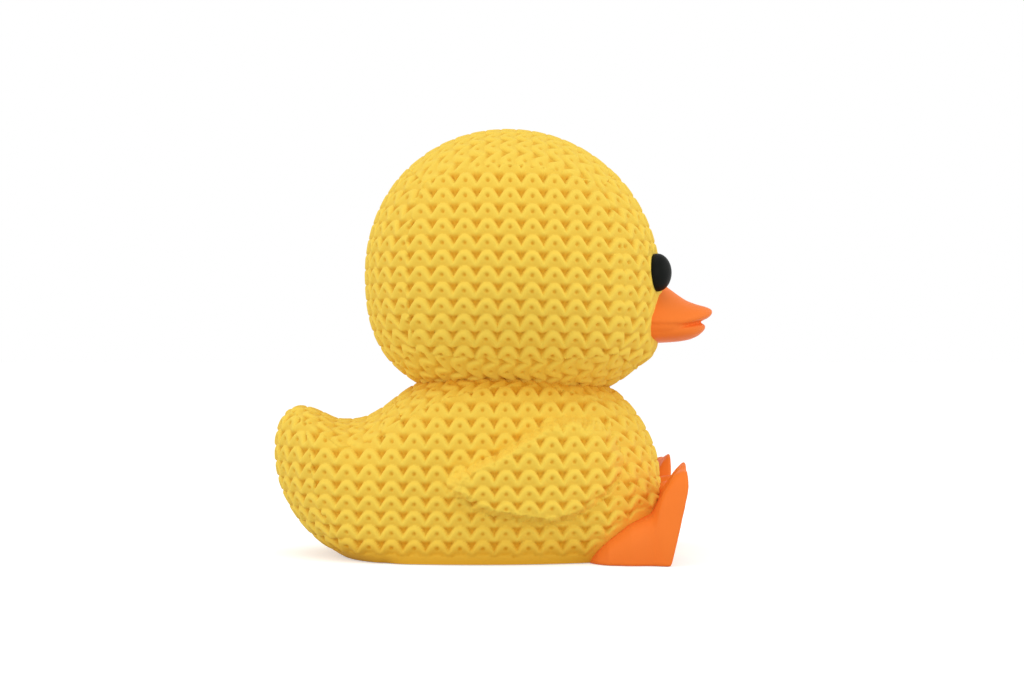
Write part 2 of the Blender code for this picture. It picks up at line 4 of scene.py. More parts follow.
import bpy
import numpy as np
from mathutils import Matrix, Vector


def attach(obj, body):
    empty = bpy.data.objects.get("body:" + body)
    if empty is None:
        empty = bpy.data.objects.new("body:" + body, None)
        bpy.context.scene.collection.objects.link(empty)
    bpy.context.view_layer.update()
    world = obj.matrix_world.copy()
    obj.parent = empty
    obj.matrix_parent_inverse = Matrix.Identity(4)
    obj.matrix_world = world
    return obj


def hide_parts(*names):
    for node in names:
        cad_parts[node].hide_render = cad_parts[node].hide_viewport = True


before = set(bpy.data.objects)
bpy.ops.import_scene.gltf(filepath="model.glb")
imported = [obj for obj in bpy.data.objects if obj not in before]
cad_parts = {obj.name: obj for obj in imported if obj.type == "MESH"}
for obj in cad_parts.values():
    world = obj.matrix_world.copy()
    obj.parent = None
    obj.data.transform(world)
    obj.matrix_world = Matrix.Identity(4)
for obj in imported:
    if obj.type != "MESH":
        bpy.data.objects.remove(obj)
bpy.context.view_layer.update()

bl_info = {
    "name": "Knitted Rubber Duck",
    "version": (1, 0, 0),
    "blender": (4, 5, 0),
    "location": "View3D > Sidebar > Duck",
    "description": "Builds a rubber duck with a knitted relief and its studio",
    "category": "Add Mesh",
}

MM = 0.001
TURN = 2.0 * math.pi

# Head, as in the part
HEAD_CENTRE = (4.0, 54.2)
HEAD_HALF_LENGTH = 29.3
HEAD_HALF_WIDTH = 29.0
HEAD_RISE = 30.2
HEAD_DROP = 23.9
HEAD_LEAN = 0.037
HEAD_CROWN_POWER = 2.05
HEAD_JAW_POWER = 2.6

# Body: side outline as (x, z) in millimetres
BODY_CENTRE = (-20.0, 5.0)
BODY_OUTLINE = [
    (33.0, 14.0),
    (32.5, 19.7),
    (31.1, 23.5),
    (26.6, 30.2),
    (14.0, 37.5),
    (4.0, 39.0),
    (-6.0, 37.5),
    (-16.5, 33.0),
    (-22.0, 29.0),
    (-28.0, 26.7),
    (-32.3, 27.2),
    (-35.6, 28.7),
    (-38.6, 29.3),
    (-41.3, 27.8),
    (-42.9, 24.6),
    (-43.3, 19.7),
    (-42.3, 14.0),
    (-39.5, 8.3),
    (-35.0, 3.4),
    (-29.4, -0.2),
    (-24.5, -2.2),
    (-14.0, -7.5),
    (4.0, -13.0),
    (20.0, -11.0),
    (29.0, -4.0),
    (31.9, 5.5),
]
BODY_HALF_WIDTH = 26.2
BODY_WIDEST_X = 6.0
BODY_TAPER_FRONT = 38.0
BODY_TAPER_TAIL = 50.5
BODY_PLAN_POWER = 2.3
BODY_SIDE_POWER = 4.2

# Wing: leaf outline as (x, z) in millimetres, its height over the body, and the shares of the way
# to the outline where that height starts to fall and where it ends
WING_CENTRE = (9.5, 17.5)
WING_OUTLINE = [
    (24.8, 18.0),
    (23.4, 23.6),
    (16.4, 27.6),
    (5.5, 24.0),
    (-3.2, 19.2),
    (-8.9, 15.2),
    (-5.0, 11.4),
    (2.5, 9.0),
    (12.0, 8.0),
    (20.0, 11.6),
]
WING_RAISE = 4.3
WING_EDGE = (0.86, 1.04)

# Fullness over the heel: middle (x, z), length and height, and how far out
HAUNCH = (23.5, 7.5)
HAUNCH_SIZE = (7.0, 8.5)
HAUNCH_RAISE = 4.6
# The same, forwards: middle (distance from the middle of the duck, z), width and height, how far
PUSH = (14.5, 9.5)
PUSH_SIZE = (8.0, 5.5)
PUSH_RAISE = 5.0

# Where a pit of the knit lies, as (x, z)
HEAD_KNIT = (4.83, 55.39)
BODY_KNIT = (-0.14, 30.0)
BODY_STRETCH = 1.018
HEAD_ROLL = math.radians(0.75)

# Share of the knit's depth where it is laid on from the top, and how strongly the body's upper
# side is drawn to that
TOP_SHARE = 0.75
BODY_TOP_PULL = 0.8

# One stitch, in shares of its width and height: half width of the notch, lowest place and height of
# the wave that a row follows, where the row is fullest, half width of the pit, place of the dot
NOTCH_REACH = 0.42
WAVE_LOW = -0.38
WAVE_RISE = 0.70
CREST = 0.30
PIT_REACH = 0.36
DOT_UP = -0.25
# The dot's edge in millimetres, and how much painted shade falls low on a row, in a pit and in a dot
DOT_EDGE = (0.06, 0.58)
LOW_SHADE = 0.32
PIT_SHADE = 0.85
DOT_SHADE = 0.75

# Torn rim of the wing: height and fineness of its bumps, and the share of the knit worn off there
RIM_ROUGHNESS = 0.26
RIM_FINENESS = 1.25
RIM_WEAR = 0.6

# Painted shade at the neck, where the head shades the body, and painted shade near the ground, and
# how far each reaches in millimetres
NECK_SHADE = 0.7
NECK_REACH = 3.6
HEM_SHADE = 0.9
HEM_REACH = 6.0

# How deep in the other skin a point is taken away, in millimetres
BURIED = 1.6

# Collar of plain skin round the bill: how far out, middle z, half height, half width
COLLAR = [
    (1.4, 41.2, 3.0, 10.5),
    (0.9, 52.6, 1.8, 6.0),
]

# Bill stations: x, half width, top, lip (widest height), underside, fullness of the section
UPPER_BILL = [
    (28.0, 11.0, 56.0, 46.2, 44.4, 1.4),
    (32.0, 10.8, 55.2, 46.2, 44.4, 1.4),
    (34.2, 10.3, 53.6, 46.1, 44.5, 1.45),
    (36.6, 9.4, 51.8, 46.1, 44.7, 1.6),
    (38.6, 8.4, 50.4, 46.4, 45.3, 1.8),
    (40.6, 6.9, 49.65, 46.9, 45.9, 2.0),
    (42.0, 5.3, 49.3, 47.3, 46.4, 2.1),
    (43.0, 3.6, 49.0, 47.6, 46.9, 2.1),
    (43.6, 2.0, 48.7, 47.9, 47.4, 2.0),
    (43.9, 0.6, 48.4, 48.1, 47.9, 2.0),
]
LOWER_BILL = [
    (28.0, 9.8, 45.6, 44.4, 41.7, 2.3),
    (32.0, 9.8, 45.6, 44.4, 41.9, 2.3),
    (35.0, 9.2, 45.6, 44.5, 42.0, 2.3),
    (37.4, 8.3, 45.7, 44.7, 42.2, 2.3),
    (39.4, 7.0, 45.9, 44.9, 42.6, 2.3),
    (40.8, 5.5, 46.0, 45.0, 43.2, 2.2),
    (41.7, 3.9, 45.9, 45.1, 43.9, 2.1),
    (42.3, 2.0, 45.6, 45.1, 44.5, 2.0),
    (42.5, 0.5, 45.3, 45.1, 45.0, 2.0),
]
CHEEKS = [
    (28.0, 10.5, 49.0, 45.4, 42.2, 2.2),
    (33.0, 10.3, 48.8, 45.4, 42.4, 2.2),
    (35.2, 9.6, 48.0, 45.4, 42.8, 2.2),
    (37.0, 8.2, 47.4, 45.4, 43.3, 2.2),
    (38.6, 6.1, 47.0, 45.5, 43.9, 2.1),
    (39.8, 3.6, 46.8, 45.6, 44.4, 2.0),
    (40.4, 0.6, 46.2, 45.7, 45.2, 2.0),
]

# Eye
EYE_PLACE = (32.15, 8.6, 55.75)
EYE_HALF = (2.8, 3.5, 3.75)

# Foot: outline of the web seen from the front, as (distance from the middle, z)
FOOT_CENTRE = (15.5, 7.0)
FOOT_OUTLINE = [
    (29.9, 2.0),
    (29.8, 8.0),
    (29.2, 13.0),
    (28.3, 16.0),
    (26.8, 17.6),
    (24.7, 18.0),
    (22.8, 17.8),
    (20.8, 18.0),
    (19.2, 18.5),
    (17.6, 18.9),
    (15.6, 19.1),
    (13.6, 18.3),
    (11.8, 15.8),
    (10.2, 14.3),
    (8.4, 14.9),
    (6.6, 15.1),
    (5.0, 13.8),
    (4.2, 9.0),
    (4.0, 3.0),
    (4.6, -4.0),
    (15.5, -7.0),
    (27.8, -4.0),
]
# Foot: back of the web, top of the heel and side of the heel
WEB_BACK_Z = (0.0, 8.0, 10.0, 11.8, 13.3, 15.0, 16.5, 18.0, 19.5)
WEB_BACK_X = (31.0, 30.6, 30.6, 31.1, 31.7, 32.7, 33.5, 34.3, 35.0)
HEEL_X = (15.0, 17.6, 19.5, 21.4, 25.6, 28.8, 34.0)
HEEL_TOP = (-3.0, 0.0, 2.3, 4.2, 7.3, 8.6, 9.2)
HEEL_SIDE = (20.5, 23.2, 25.6, 27.2, 28.3, 28.2, 28.8)

# Grain of the bill and the feet, and the rounds that soften the mouth
BILL_GRAIN = 0.22
FOOT_GRAIN = 0.4
MOUTH_ROUNDS = 9

# Underside: level of the body's cut, how far it is sunk inside a rim, and the width of that rim
BODY_LEVEL = 0.1
BODY_RECESS = 8.0
BODY_EDGE = 1.5
# Base plate: points round it, how far it stays inside the body, its level, thickness and air hole
BASE_POINTS = 160
BASE_INSET = 1.45
BASE_LEVEL = 0.15
BASE_THICKNESS = 2.4
AIR_HOLE_RADIUS = 3.0

# Finishes, as (roughness, specular level)
VINYL_FINISH = (0.5, 0.32)
ORANGE_FINISH = (0.5, 0.10)
BLACK_FINISH = (0.45, 0.07)

# Floor: its white, its glow where the camera sees it, and the grey that it lights the duck with
FLOOR_WHITE = 0.85
FLOOR_GLOW = 0.46
FLOOR_GREY = 0.65

# Photograph's camera
CAMERA_TARGET = (3.8, 0.0, 42.2)
CAMERA_DISTANCE = 450.0
CAMERA_AZIMUTH = -1.3
CAMERA_LENS = 79.1


def outline_radius(points, centre):
    """Radius of a smooth closed outline at any angle about a centre inside it."""
    offsets = np.array(points) - np.array(centre)
    angles = np.unwrap(np.arctan2(offsets[:, 1], offsets[:, 0]))
    radii = np.hypot(offsets[:, 0], offsets[:, 1])
    knots = np.concatenate([angles - TURN, angles, angles + TURN])
    values = np.tile(radii, 3)
    slopes = np.gradient(values, knots)

    def radius(angle):
        turned = angles[0] + np.mod(angle - angles[0], TURN)
        index = np.searchsorted(knots, turned, side="right") - 1
        step = knots[index + 1] - knots[index]
        t = (turned - knots[index]) / step
        start = (1.0 + 2.0 * t) * (1.0 - t) ** 2 * values[index]
        start_slope = t * (1.0 - t) ** 2 * step * slopes[index]
        end = t ** 2 * (3.0 - 2.0 * t) * values[index + 1]
        end_slope = t ** 2 * (t - 1.0) * step * slopes[index + 1]
        return start + start_slope + end + end_slope

    return radius


body_radius = outline_radius(BODY_OUTLINE, BODY_CENTRE)
wing_radius = outline_radius(WING_OUTLINE, WING_CENTRE)
foot_radius = outline_radius(FOOT_OUTLINE, FOOT_CENTRE)


def head_field(p):
    """Zero on the head's skin, negative inside; p holds points in millimetres."""
    x, y, z = p.T
    above = z > HEAD_CENTRE[1]
    drop = np.where(above, HEAD_RISE, HEAD_DROP)
    power = np.where(above, HEAD_CROWN_POWER, HEAD_JAW_POWER)
    along = np.abs(x - HEAD_CENTRE[0] + HEAD_LEAN * (z - HEAD_CENTRE[1])) / HEAD_HALF_LENGTH
    up = np.abs(z - HEAD_CENTRE[1]) / drop
    side_view = (along ** power + up ** power) ** (1.0 / power)
    return side_view ** 2 + (y / HEAD_HALF_WIDTH) ** 2 - 1.0


def body_field(p):
    """Zero on the body's skin without its wings, negative inside."""
    x, y, z = p.T
    taper = np.where(x > BODY_WIDEST_X, BODY_TAPER_FRONT, BODY_TAPER_TAIL)
    along = np.clip(np.abs(x - BODY_WIDEST_X) / taper, 0.0, 0.995)
    half_width = BODY_HALF_WIDTH * (1.0 - along ** BODY_PLAN_POWER) ** (1.0 / BODY_PLAN_POWER)
    east = x - BODY_CENTRE[0]
    up = z - BODY_CENTRE[1]
    side_view = np.hypot(east, up) / body_radius(np.arctan2(up, east))
    return side_view ** BODY_SIDE_POWER + (y / half_width) ** 2 - 1.0


def wing_share(p):
    """Share of the way from the wing's middle to its edge, seen from the side."""
    east = p[:, 0] - WING_CENTRE[0]
    up = p[:, 2] - WING_CENTRE[1]
    return np.hypot(east, up) / wing_radius(np.arctan2(up, east))


def bare_place(p):
    """The points moved in to where they would be on the body without its wings and haunches."""
    wing = WING_RAISE * (1.0 - rise(*WING_EDGE, wing_share(p)))
    x, y, z = p.T
    over_heel = ((x - HAUNCH[0]) / HAUNCH_SIZE[0]) ** 2 + ((z - HAUNCH[1]) / HAUNCH_SIZE[1]) ** 2
    raised = np.maximum(wing, HAUNCH_RAISE * np.exp(-over_heel))
    ahead = np.exp(-((np.abs(y) - PUSH[0]) / PUSH_SIZE[0]) ** 2 - ((z - PUSH[1]) / PUSH_SIZE[1]) ** 2)
    bare = p.copy()
    bare[:, 0] -= PUSH_RAISE * ahead * rise(12.0, 25.0, x)
    bare[:, 1] = np.sign(y) * np.maximum(np.abs(y) - raised, 0.0)
    return bare


def winged_field(p):
    """Zero on the body's skin with its wings and haunches, negative inside."""
    return body_field(bare_place(p))


def slope(field, p):
    """Slope of a field at some points."""
    step = 0.02
    parts = []
    for axis in range(3):
        shift = np.zeros(3)
        shift[axis] = step
        parts.append((field(p + shift) - field(p - shift)) / (2.0 * step))
    return np.array(parts).T


def unit(vectors):
    """The same directions at length 1."""
    return vectors / np.linalg.norm(vectors, axis=1)[:, None]


def depth_inside(field, p):
    """About how far inside a skin the points lie, in millimetres."""
    return -field(p) / np.linalg.norm(slope(field, p), axis=1)


def onto_skin(field, directions, centre):
    """Points where rays from a centre meet a skin."""
    low = np.zeros(len(directions))
    high = np.full(len(directions), 100.0)
    start = np.array(centre)
    for _ in range(32):
        middle = 0.5 * (low + high)
        inside = field(start + directions * middle[:, None]) < 0.0
        low = np.where(inside, middle, low)
        high = np.where(inside, high, middle)
    return start + directions * middle[:, None]


def settle(obj, field):
    """Move a mesh that lies close to a skin right onto it."""
    p = points_of(obj)
    for _ in range(3):
        lean = slope(field, p)
        reach = field(p) / np.maximum((lean ** 2).sum(axis=1), 1e-9)
        p = p - np.clip(reach[:, None] * lean, -0.2, 0.2)
    put_points(obj, p)


def rise(low, high, value):
    """Smooth step from 0 at low to 1 at high."""
    t = np.clip((value - low) / (high - low), 0.0, 1.0)
    return t * t * (3.0 - 2.0 * t)


def stitch(across, up, knit):
    """Height of the knit in millimetres, and how much painted shade a place gets, from 0 to 1.

    Pits lie at whole numbers of stitches.
    """
    u = across - np.floor(across + 0.5)
    off = np.abs(u)
    notch = np.sin(0.5 * math.pi * np.minimum(off / NOTCH_REACH, 1.0))
    wave = WAVE_LOW + WAVE_RISE * (0.8 * notch + 0.2 * np.sin(math.pi * off))
    below = np.mod(wave - up, 1.0)
    band = np.where(
        below < CREST,
        np.sin(0.5 * math.pi * below / CREST),
        np.cos(0.5 * math.pi * (below - CREST) / (1.0 - CREST)) ** 1.3,
    )
    v = up - np.floor(up + 0.5)
    above = v - wave
    floor = 0.55 + 0.45 * np.clip((v - WAVE_LOW) / 0.5, 0.0, 1.0)
    within = np.exp(-(off / PIT_REACH) ** 4)
    pit = floor * rise(0.0, 0.14, above) * (1.0 - rise(0.02, 0.34, v)) * within
    to_dot_u = (0.5 - off) * knit.stitch_width / MM
    to_dot_v = (v - DOT_UP) * knit.stitch_height / MM
    dot = 1.0 - rise(*DOT_EDGE, np.hypot(to_dot_u, to_dot_v))
    relief = knit.yarn_height * (band - 0.45) - knit.pit_depth * pit - knit.dot_depth * dot
    low = np.clip((below - CREST) / (1.0 - CREST), 0.0, 1.0)
    shade = np.clip(LOW_SHADE * low + PIT_SHADE * pit + DOT_SHADE * dot, 0.0, 1.0)
    return np.array([relief / MM, shade])


def knit_relief(p, normals, start, roll, knit, stretch=1.0, top_pull=1.0):
    """Knit laid on from the side, the front or the top, whichever a point faces most.

    A stretch over 1 widens the stitches, and a top pull under 1 narrows what is laid on from the top.
    """
    width = stretch * knit.stitch_width / MM
    height = knit.stitch_height / MM
    x = p[:, 0] - start[0]
    z = p[:, 2] - start[1]
    turned_x = x * math.cos(roll) - z * math.sin(roll)
    turned_z = x * math.sin(roll) + z * math.cos(roll)
    from_side = stitch(turned_x / width, turned_z / height, knit)
    from_front = stitch(p[:, 1] / width, turned_z / height, knit)
    from_top = stitch(p[:, 1] / width, -turned_x / height, knit)
    facing = np.abs(normals * (1.0, 1.0, top_pull)).argmax(axis=1)
    return np.choose(facing, [from_front, from_side, TOP_SHARE * from_top])


def clothe(obj, p, normals, fade, knit_layout):
    """Raise the knit on a skin, and keep its painted shade, with painted shade near the ground, as an
    attribute for the colour.
    """
    height, shade = knit_layout
    put_points(obj, p + normals * (height * fade)[:, None])
    # Painted shade near the ground, darker towards the bottom
    hem = 1.0 - rise(0.0, HEM_REACH, p[:, 2])
    shade = np.clip(shade * fade + HEM_SHADE * hem, 0.0, 1.0)
    depth = obj.data.attributes.new("knit_painted_shade", "FLOAT", "POINT")
    depth.data.foreach_set("value", shade.astype(np.float32))


def deselect():
    """Leave edit mode and select nothing."""
    if bpy.context.object and bpy.context.object.mode != "OBJECT":
        bpy.ops.object.mode_set(mode="OBJECT")
    bpy.ops.object.select_all(action="DESELECT")


def points_of(obj):
    """A mesh's points, in millimetres."""
    co = np.empty(len(obj.data.vertices) * 3, np.float32)
    obj.data.vertices.foreach_get("co", co)
    return co.reshape(-1, 3).astype(float) / MM


def put_points(obj, p):
    """Move a mesh's points to places in millimetres."""
    obj.data.vertices.foreach_set("co", (p * MM).astype(np.float32).ravel())
    obj.data.update()


def normals_of(obj):
    """Which way a mesh's points face."""
    normals = np.empty(len(obj.data.vertices) * 3, np.float32)
    obj.data.vertices.foreach_get("normal", normals)
    return normals.reshape(-1, 3).astype(float)


def regrain(obj, grain):
    """Give the active mesh small faces of one even size."""
    obj.data.remesh_voxel_size = grain
    bpy.ops.object.voxel_remesh()


def open_where(obj, buried):
    """Take the buried points out of the active mesh and close the opening they leave."""
    bpy.ops.object.mode_set(mode="EDIT")
    bpy.ops.mesh.select_mode(type="VERT")
    bpy.ops.mesh.select_all(action="DESELECT")
    bpy.ops.object.mode_set(mode="OBJECT")
    obj.data.vertices.foreach_set("select", buried)
    bpy.ops.object.mode_set(mode="EDIT")
    bpy.ops.mesh.delete(type="VERT")
    bpy.ops.mesh.select_non_manifold(extend=False)
    bpy.ops.mesh.fill_holes(sides=0)
    bpy.ops.object.mode_set(mode="OBJECT")


def cut_through(keep, level=0.0, recess=0.0):
    """Cut the active mesh and close it, keeping the side that the plane points to.

    The plane goes through the middle at a level in metres. A recess sinks the cut inside its rim.
    """
    bpy.ops.object.mode_set(mode="EDIT")
    bpy.ops.mesh.select_mode(type="FACE")
    bpy.ops.mesh.select_all(action="SELECT")
    bpy.ops.mesh.bisect(
        plane_co=(0.0, 0.0, level),
        plane_no=keep,
        clear_inner=True,
        use_fill=True,
        threshold=0.00001,
    )
    if recess:
        bpy.ops.mesh.inset(thickness=BODY_EDGE * MM)
        inwards = tuple(recess * share for share in keep)
        bpy.ops.mesh.extrude_region_move(TRANSFORM_OT_translate={"value": inwards})
    bpy.ops.object.mode_set(mode="OBJECT")


def finish_halves(whole, name, material):
    """Split a piece at the middle into its right and its left half."""
    bpy.ops.object.duplicate()
    for half, side, word in ((whole, -1.0, "right"), (bpy.context.object, 1.0, "left")):
        deselect()
        half.select_set(True)
        bpy.context.view_layer.objects.active = half
        cut_through((0.0, side, 0.0))
        finish_piece(half, name + "_" + word, material)
        bpy.ops.object.shade_smooth_by_angle(angle=math.radians(75.0))


def finish_piece(obj, name, material):
    """Name a piece, paint it and tie it to the part."""
    obj.name = name
    obj.data.name = name
    obj.data.materials.clear()
    obj.data.materials.append(material)
    bpy.ops.object.shade_smooth()
    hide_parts("duck_shell")
    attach(obj, "root")


def paint(name, color, roughness, specular):
    """A plain dielectric finish."""
    material = bpy.data.materials.get(name)
    if material:
        return material
    material = bpy.data.materials.new(name)
    material.use_nodes = True
    shader = material.node_tree.nodes["Principled BSDF"]
    shader.inputs["Base Color"].default_value = (*color, 1.0)
    shader.inputs["Roughness"].default_value = roughness
    shader.inputs["Specular IOR Level"].default_value = specular
    return material


def yellow_vinyl():
    """Yellow vinyl, with painted shade down in the knit, at the neck and near the ground."""
    colors = bpy.context.scene.duck_paint
    material = paint("yellow_vinyl", colors.yellow, *VINYL_FINISH)
    tree = material.node_tree
    if "Knit" in tree.nodes:
        return material
    # The attribute holds the painted shade, which mixes the yellow towards the painted shade colour
    depth = tree.nodes.new("ShaderNodeAttribute")
    depth.name = "Knit"
    depth.attribute_name = "knit_painted_shade"
    blend = tree.nodes.new("ShaderNodeMix")
    blend.data_type = "RGBA"
    blend.inputs[6].default_value = (*colors.yellow, 1.0)
    blend.inputs[7].default_value = (*colors.painted_shade_yellow, 1.0)
    tree.links.new(depth.outputs["Fac"], blend.inputs[0])
    shader = tree.nodes["Principled BSDF"]
    tree.links.new(blend.outputs[2], shader.inputs["Base Color"])
    return material


def orange_paint():
    """Orange paint on the bill and feet."""
    colors = bpy.context.scene.duck_paint
    return paint("orange_paint", colors.orange, *ORANGE_FINISH)


def black_paint():
    """Black paint on the eyes."""
    colors = bpy.context.scene.duck_paint
    return paint("black_paint", colors.black, *BLACK_FINISH)


def metres(name, description, default):
    """A property in metres."""
    return bpy.props.FloatProperty(name=name, description=description, default=default, unit="LENGTH")


def watts(name, description, default):
    """A property in watts."""
    return bpy.props.FloatProperty(name=name, description=description, default=default, unit="POWER")


def tint(name, description, default):
    """A colour property."""
    return bpy.props.FloatVectorProperty(
        name=name, description=description, default=default, subtype="COLOR", min=0.0, max=1.0
    )


class DuckKnit(bpy.types.PropertyGroup):
    """The knitted relief"""

    stitch_width: metres("Stitch width", "Width of one stitch", 0.00424)
    stitch_height: metres("Stitch height", "Height of one row of stitches", 0.00303)
    yarn_height: metres(
        "Yarn height", "How far the upper edge of a row stands over its lower edge", 0.00052
    )
    pit_depth: metres("Pit depth", "Depth of the three-cornered pit between two stitches", 0.00062)
    dot_depth: metres("Dot depth", "Depth of the small round pit in each stitch", 0.00045)
    head_cuts: bpy.props.IntProperty(
        name="Head cuts",
        description="Cuts across each side of the head's block, before every face is quartered",
        default=94,
        min=9,
        max=99,
    )
    body_grain: metres("Body grain", "Size of the small faces of the body", 0.00026)


class DuckPaint(bpy.types.PropertyGroup):
    """The colours"""

    yellow: tint("Yellow", "Colour of the vinyl", (0.93, 0.65, 0.074))
    # Painted shade colour, mixed in down in the knit, at the neck and near the ground
    painted_shade_yellow: tint("Deep yellow", "Colour of the vinyl down in the pits", (0.75, 0.375, 0.008))
    orange: tint("Orange", "Paint on the bill and feet", (0.97, 0.225, 0.032))
    black: tint("Black", "Paint on the eyes", (0.006, 0.007, 0.006))


class DuckStage(bpy.types.PropertyGroup):
    """The studio"""

    room_light: bpy.props.FloatProperty(
        name="Room light",
        description="Strength of the even white light from all round",
        default=0.67,
    )
    top_power: watts("Top power", "Power of the lamp above", 0.9)
    front_power: watts("Front power", "Power of the lamp behind the camera", 1.6)
    right_power: watts("Right power", "Power of the lamp ahead of the bill", 1.2)
    left_power: watts("Left power", "Power of the lamp behind the tail", 1.5)
    lamp_size: metres("Lamp size", "Side of each lamp", 0.6)


class DUCK_OT_head(bpy.types.Operator):
    """Add the head: a ball with a flatter jaw, clad in knit"""

    bl_idname = "duck.head"
    bl_label = "Add Head"

    def execute(self, context):
        knit = context.scene.duck_knit
        deselect()
        bpy.ops.mesh.primitive_cube_add(size=2.0, location=(0.0, 0.0, 0.0))
        head = context.object
        bpy.ops.object.mode_set(mode="EDIT")
        bpy.ops.mesh.subdivide(number_cuts=knit.head_cuts)
        bpy.ops.mesh.subdivide(number_cuts=1)
        bpy.ops.object.mode_set(mode="OBJECT")
        block = np.tan(points_of(head) * MM * 0.25 * math.pi)
        centre = (HEAD_CENTRE[0], 0.0, HEAD_CENTRE[1])
        put_points(head, onto_skin(head_field, unit(block), centre))
        open_where(head, depth_inside(body_field, points_of(head)) > BURIED)
        p = points_of(head)
        normals = unit(slope(head_field, p))
        layout = knit_relief(p, normals, HEAD_KNIT, HEAD_ROLL, knit)
        p = p + normals * collar(p)[:, None]
        clothe(head, p, normals, head_fade(p), layout)
        finish_halves(head, "head", yellow_vinyl())
        return {"FINISHED"}


def collar(p):
    """How far the plain skin runs out onto the bill, above and below it, in millimetres."""
    side = np.abs(p[:, 1])
    swell = np.zeros(len(p))
    for out, middle, half_height, half_width in COLLAR:
        swell += out * np.exp(-((p[:, 2] - middle) / half_height) ** 2 - (side / half_width) ** 4)
    return rise(22.0, 27.0, p[:, 0]) * swell


def head_fade(p):
    """Share of the knit's height that is left near the eyes and the bill."""
    side = np.abs(p[:, 1])
    eye = np.sqrt(
        ((p[:, 0] - EYE_PLACE[0]) / EYE_HALF[0]) ** 2
        + ((side - EYE_PLACE[1]) / EYE_HALF[1]) ** 2
        + ((p[:, 2] - EYE_PLACE[2]) / EYE_HALF[2]) ** 2
    )
    bill = np.hypot(side / 9.5, (p[:, 2] - 46.5) / 5.6)
    front = rise(22.0, 28.0, p[:, 0])
    near_bill = 1.0 - front * (1.0 - rise(1.0, 1.45, bill))
    jaw = 0.32 + 0.68 * rise(31.6, 34.0, p[:, 2])
    return rise(1.0, 1.35, eye) * near_bill * jaw


class DUCK_OT_body(bpy.types.Operator):
    """Add the body with its tail and folded wings, clad in knit"""

    bl_idname = "duck.body"
    bl_label = "Add Body"

    def execute(self, context):
        knit = context.scene.duck_knit
        deselect()
        bpy.ops.mesh.primitive_uv_sphere_add(segments=300, ring_count=150, radius=1.0)
        body = context.object
        directions = unit(points_of(body) * MM)
        put_points(body, onto_skin(winged_field, directions, (BODY_CENTRE[0], 0.0, BODY_CENTRE[1])))
        regrain(body, knit.body_grain)
        settle(body, winged_field)
        open_where(body, depth_inside(head_field, points_of(body)) > BURIED)
        p = points_of(body)
        facing = unit(slope(body_field, bare_place(p)))
        layout = knit_relief(body_cloth(p), facing, BODY_KNIT, 0.0, knit, BODY_STRETCH, BODY_TOP_PULL)
        normals = normals_of(body)
        rim = torn_rim(p)
        p = p + normals * (RIM_ROUGHNESS * rim * ragged(RIM_FINENESS * p))[:, None]
        # Painted shade on the body under the head, at the neck
        to_head = np.maximum(-depth_inside(head_field, p), 0.0)
        layout[1] += NECK_SHADE * np.exp(-(to_head / NECK_REACH) ** 2)
        clothe(body, p, normals, body_fade(p) * (1.0 - RIM_WEAR * rim), layout)
        cut_through((0.0, 0.0, 1.0), level=BODY_LEVEL * MM, recess=BODY_RECESS * MM)
        finish_halves(body, "body", yellow_vinyl())
        return {"FINISHED"}


def body_cloth(p):
    """The points where the body's knit is read: closer rows low down, and wings a little lower."""
    cloth = p.copy()
    cloth[:, 2] -= 0.1 * np.maximum(14.5 - p[:, 2], 0.0)
    cloth[:, 2] += np.where(wing_share(p) < 1.0, 0.55, 0.0)
    return cloth


def ragged(p):
    """A small uneven wander, from about -1 to 1."""
    x, y, z = p.T
    wander = np.sin(1.9 * x + 0.7 * z) * np.sin(1.3 * x - 2.1 * z + 0.5 * y)
    return 0.6 * wander + 0.4 * np.sin(3.7 * x + 2.9 * z) * np.sin(4.3 * z - 2.3 * x)


def torn_rim(p):
    """1 on the worn rim of the wing, above and behind and along its underside."""
    share = wing_share(p)
    upper = rise(0.0, 1.0, p[:, 2] - 0.45 * p[:, 0] - 15.5)
    lower = rise(0.0, 1.0, 11.2 - p[:, 2] + 0.1 * ragged(p))
    band = rise(0.74, 0.86, share) * (1.0 - rise(1.0, 1.06, share))
    return band * np.maximum(upper, lower)


def body_fade(p):
    """Share of the knit's height that is left near the ground and the heels."""
    hem = p[:, 2] + 0.35 * ragged(p)
    over_heel = 0.75 * (p[:, 2] - np.interp(p[:, 0], HEEL_X, HEEL_TOP)) + 0.35 * ragged(p)
    near_heel = rise(15.5, 17.5, p[:, 0]) * rise(7.0, 9.0, np.abs(p[:, 1]))
    return rise(1.4, 2.3, hem) * (1.0 - near_heel * (1.0 - rise(0.7, 1.7, over_heel)))


def bill_rings(stations):
    """Closed rings of a bill through its stations, as an array of rings of points."""
    stations = np.array(stations)
    around = 72
    along = np.linspace(0.0, 1.0, 60)
    reach = np.linspace(0.0, 1.0, len(stations))
    smooth = np.column_stack([np.interp(along, reach, column) for column in stations.T])
    for _ in range(6):
        smooth[1:-1] = 0.25 * smooth[:-2] + 0.5 * smooth[1:-1] + 0.25 * smooth[2:]
    turn = np.linspace(0.0, TURN, around + 1)[:-1]
    rings = []
    for x, half, top, lip, under, fullness in smooth:
        power = 2.0 / fullness
        wide = np.sign(np.cos(turn)) * np.abs(np.cos(turn)) ** power
        above = (top - lip) * np.abs(np.sin(turn)) ** power
        below = (under - lip) * np.abs(np.sin(turn)) ** 0.8
        height = np.where(np.sin(turn) > 0.0, above, below)
        rings.append(np.column_stack([np.full(around, x), half * wide, lip + height]))
    return np.array(rings)


